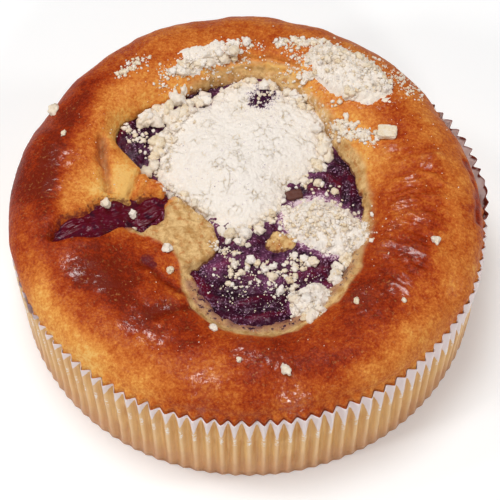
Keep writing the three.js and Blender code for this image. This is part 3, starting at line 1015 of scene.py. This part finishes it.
def granular_relief(points, share):
    """Loose crumbs as big as rice and smaller, lying thinly, with bare places between."""
    moved = points + 0.25 * noise(points, 1.5, 70)[..., None]
    height = 0.5 * noise(points, 4.5, 67) + 0.5 * noise(points, 2, 75, 2)
    for size, depth, seed in [(2.6, 0.9, 68), (1.2, 0.6, 69), (0.7, 0.35, 74)]:
        height = height + depth * clods(moved, size, seed)[0]
    return height - 1.5 * smooth((share - 0.6) / 0.4) - 0.5, np.zeros_like(height)


def round_lattice(count):
    """Places in a circle of radius 1 from a square lattice, and the lattice's border, anticlockwise."""
    u, v = np.meshgrid(np.linspace(-1, 1, count), np.linspace(-1, 1, count))
    number = np.arange(count * count).reshape(count, count)
    border = [number[0, :-1], number[:-1, -1], number[-1, :0:-1], number[:0:-1, 0]]
    return u * np.sqrt(1 - v * v / 2), v * np.sqrt(1 - u * u / 2), number, np.concatenate(border)


def heap_faces(number, border):
    """Faces of a lattice, of a wall down from its border, and of the foot, which has one more point."""
    top = np.stack([number[:-1, :-1], number[:-1, 1:], number[1:, 1:], number[1:, :-1]], axis=-1)
    low = number.size + np.arange(len(border))
    after, low_after = np.roll(border, -1), np.roll(low, -1)
    wall = np.stack([border, low, low_after, after], axis=-1)
    foot = np.stack([np.full(len(low), number.size + len(low)), low_after, low], axis=-1)
    return [top.reshape(-1, 4), wall, foot]


def make_heap(name, patch, count, ground, relief, material):
    """A heap's core, closed, whose rim is sunk in what it lies on."""
    east, north, number, border = round_lattice(count)
    t, angle = polar(east, north)
    outline = round_curve(patch["radii"], angle - math.radians(patch["turn"]))
    rim = polar_points(outline, angle, 0) + [patch["x"], patch["y"], 0]
    uneven = outline * (0.06 + 0.05 * noise(rim, 4, 71, 2))
    top = polar_points((outline + uneven * t**4) * t, angle, 0) + [patch["x"], patch["y"], 0]
    under = ground.height(top[..., 0], top[..., 1])
    bumps, gap = relief(top, t)
    body = mix(patch["rise"], patch["edge"], t**2)
    if patch is HEAP:
        dome = FILLING_LEVEL + FILLING_SWELL + body + BACK_EDGE * t**2 * smooth(np.sin(angle) * 1.2)
        body = dome - under - spots(HEAP_GAPS, top[..., 0], top[..., 1])
    edge = smooth((1 - t) / 0.05)
    top[..., 2] = under + np.maximum(body + bumps, -RIM_SUNK) * edge - RIM_SUNK * (1 - edge)
    top = top.reshape(-1, 3)
    foot = top[border] * [1, 1, 0] + [0, 0, top[:, 2].min() - RIM_SUNK]
    points = np.concatenate([top, foot, [foot.mean(axis=0)]])
    piece = add_mesh(name, points, heap_faces(number, border), material)
    cream = 0.1 + 0.12 * noise(points, 10, 73, 2) + 0.1 * smooth((points[:, 2] - 9) / 2)
    cream[: len(top)] += 0.2 * t.ravel() ** 4
    stained = spots(STAINED_CRUMBS, points[:, 0], points[:, 1])
    paint(piece, cream=cream, stained=stained, gap=np.pad(gap.ravel(), (0, len(points) - len(top))))
    return piece


def ball(subdivisions):
    """Points and triangles of a round ball of radius 1."""
    shape = bmesh.new()
    bmesh.ops.create_icosphere(shape, subdivisions=subdivisions, radius=1)
    points = np.array([vertex.co for vertex in shape.verts])
    triangles = np.array([[vertex.index for vertex in face.verts] for face in shape.faces])
    shape.free()
    return points, triangles


def scatter(name, centres, sizes, subdivisions, material):
    """Many separate crumbs, each its own uneven lump, in one mesh. Sizes are diameters."""
    base, triangles = ball(subdivisions)
    count = len(centres)
    turns = np.linalg.qr(random.normal(size=(count, 3, 3)))[0]
    stretch = random.uniform(0.7, 1.2, (count, 1, 3))
    lumps = base[None] * 1.2 + random.uniform(0, 900, (count, 1, 3))
    shape = base[None] * stretch * (1 + 0.55 * noise(lumps, 0.9, 81, 2))[..., None]
    shape = np.einsum("nvk,njk->nvj", shape, turns) * (sizes / 2)[:, None, None]
    shape[..., 2] *= 0.8
    points = (shape + centres[:, None]).reshape(-1, 3)
    faces = (triangles[None] + (np.arange(count) * len(base))[:, None, None]).reshape(-1, 3)
    piece = add_mesh(name, points, [faces], material)
    paint(piece, cream=np.repeat(random.uniform(0.1, 0.75, count), len(base)))
    return piece


def strewn_places(line, spread, count):
    """Random places in a band round a line, thickest along it and in clumps."""
    line = np.asarray(line, float)
    lengths = np.hypot(*np.diff(line, axis=0).T)
    ends = np.concatenate([[0], np.cumsum(lengths)])
    chosen = np.zeros((0, 2))
    while len(chosen) < count:
        along = random.uniform(0, ends[-1], 3 * count + 30)
        place = np.stack([np.interp(along, ends, line[:, k]) for k in (0, 1)], axis=-1)
        place = place + random.normal(0, spread * 0.6, place.shape)
        odds = np.clip(0.6 + 1.2 * noise(flat(*place.T), 2.2, 91, 2), 0, 1)
        odds = odds * (np.hypot(*place.T) < RIM_RADIUS - 4)
        kept = random.uniform(size=len(place)) < odds
        chosen = np.concatenate([chosen, place[kept]])
    return chosen[:count]


def strew_crumbs(ground, material):
    """All the loose crumbs, more of them small, as coarse, medium and fine ones."""
    places = [strewn_places(line, spread, count) for line, spread, count, _, _ in STREWN]
    sizes = [low * (high / low) ** (random.uniform(size=count) ** 1.8) for _, _, count, low, high in STREWN]
    lone = np.array(LONE_CRUMBS)
    places, sizes = np.concatenate([*places, lone[:, :2]]), np.concatenate([*sizes, lone[:, 2]])
    levels = ground.height(places[:, 0], places[:, 1]) + 0.2 * sizes
    centres = np.column_stack([places, levels])
    for name, low, high, subdivisions in CRUMB_KINDS:
        kept = (sizes >= low) & (sizes < high)
        stand_for(scatter(name, centres[kept], sizes[kept], subdivisions, material), "crumb")


def make_block(name, shape, ground, material):
    """A flat crumb broken square, lying on the ground."""
    points, triangles = ball(5)
    points = points / (np.abs(points) ** 8).sum(axis=1, keepdims=True) ** (1 / 8)
    points = points * (1 + 0.13 * noise(points * 1.2, 1, 95, 3))[:, None] * np.array(shape["size"]) / 2
    x, y = turned(points[:, 0], points[:, 1], shape["turn"])
    east, north = shape["place"]
    z = points[:, 2] + ground.height(east, north) + 0.4 * shape["size"][2]
    piece = add_mesh(name, np.stack([x + east, y + north, z], axis=-1), [triangles], material)
    paint(piece, cream=0.65 + 0.3 * noise(points * [1, 3, 1], 1.2, 96))
    return piece


# Stage


def aim(name, data, place, target):
    """A camera or a light that looks at a place."""
    thing = bpy.data.objects.new(name, data)
    thing.location = place
    thing.rotation_euler = (target - place).to_track_quat("-Z", "Y").to_euler()
    bpy.context.scene.collection.objects.link(thing)
    return thing


def add_lights():
    for name, place, size, power in LIGHTS:
        light = bpy.data.lights.new(name, "AREA")
        light.shape = "DISK"
        light.size = size
        light.energy = power
        aim(name, light, Vector(place), Vector((0, 0, RIM_HEIGHT * MM)))


def add_floor():
    bpy.ops.mesh.primitive_plane_add(size=4)
    floor = bpy.context.object
    floor.name = "floor"
    finish = Finish("floor", Roughness=0.9, Base_Color=(0.9, 0.9, 0.9, 1))
    finish.give("Emission Color", WHITE)
    finish.give("Emission Strength", FILL_LIGHT)
    floor.data.materials.append(finish.material)


def add_world():
    scene = bpy.context.scene
    scene.view_settings.view_transform = "Standard"
    scene.world = bpy.data.worlds.new("studio")
    scene.world.use_nodes = True
    background = scene.world.node_tree.nodes["Background"]
    background.inputs["Color"].default_value = WHITE
    background.inputs["Strength"].default_value = FILL_LIGHT


def add_camera():
    elevation = math.radians(VIEW_ELEVATION)
    target = Vector((*VIEW_TARGET, RIM_HEIGHT / RIM_RADIUS)) * RIM_RADIUS * MM
    away = Vector((0, -math.cos(elevation), math.sin(elevation)))
    data = bpy.data.cameras.new("camera")
    data.sensor_width = 36
    data.lens = VIEW_LENS
    place = target + away * VIEW_DISTANCE * RIM_RADIUS * MM
    bpy.context.scene.camera = aim("camera", data, place, target)


def stand_for(piece, slot, *nodes):
    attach(piece, "root")
    if nodes:
        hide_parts(*nodes)


add_camera()
add_world()
add_floor()
add_lights()
crust = make_crust()
stand_for(crust, "crust", "dough")
stand_for(make_case(), "paper", "paper_case")
jam = make_filling()
stand_for(jam, "filling", "berry_filling")

crumb = crumb_material()
ground = Ground()
ground.add(crust, jam)
heap = make_heap("heap", HEAP, HEAP_POINTS_ACROSS, ground, floury_relief, crumb)
stand_for(heap, "crumb", "crumb_heap")
patches = []
for node, patch in PATCHES.items():
    loose = make_heap(node + "_loose", patch, PATCH_POINTS_ACROSS, ground, granular_relief, crumb)
    stand_for(loose, "crumb", node)
    patches.append(loose)
ground.add(heap, *patches)
strew_crumbs(ground, crumb)
stand_for(make_block("crumb_chunk", CHUNK, ground, crumb), "crumb")
stand_for(make_block("dark_chip", CHIP, ground, chip_material()), "chip")
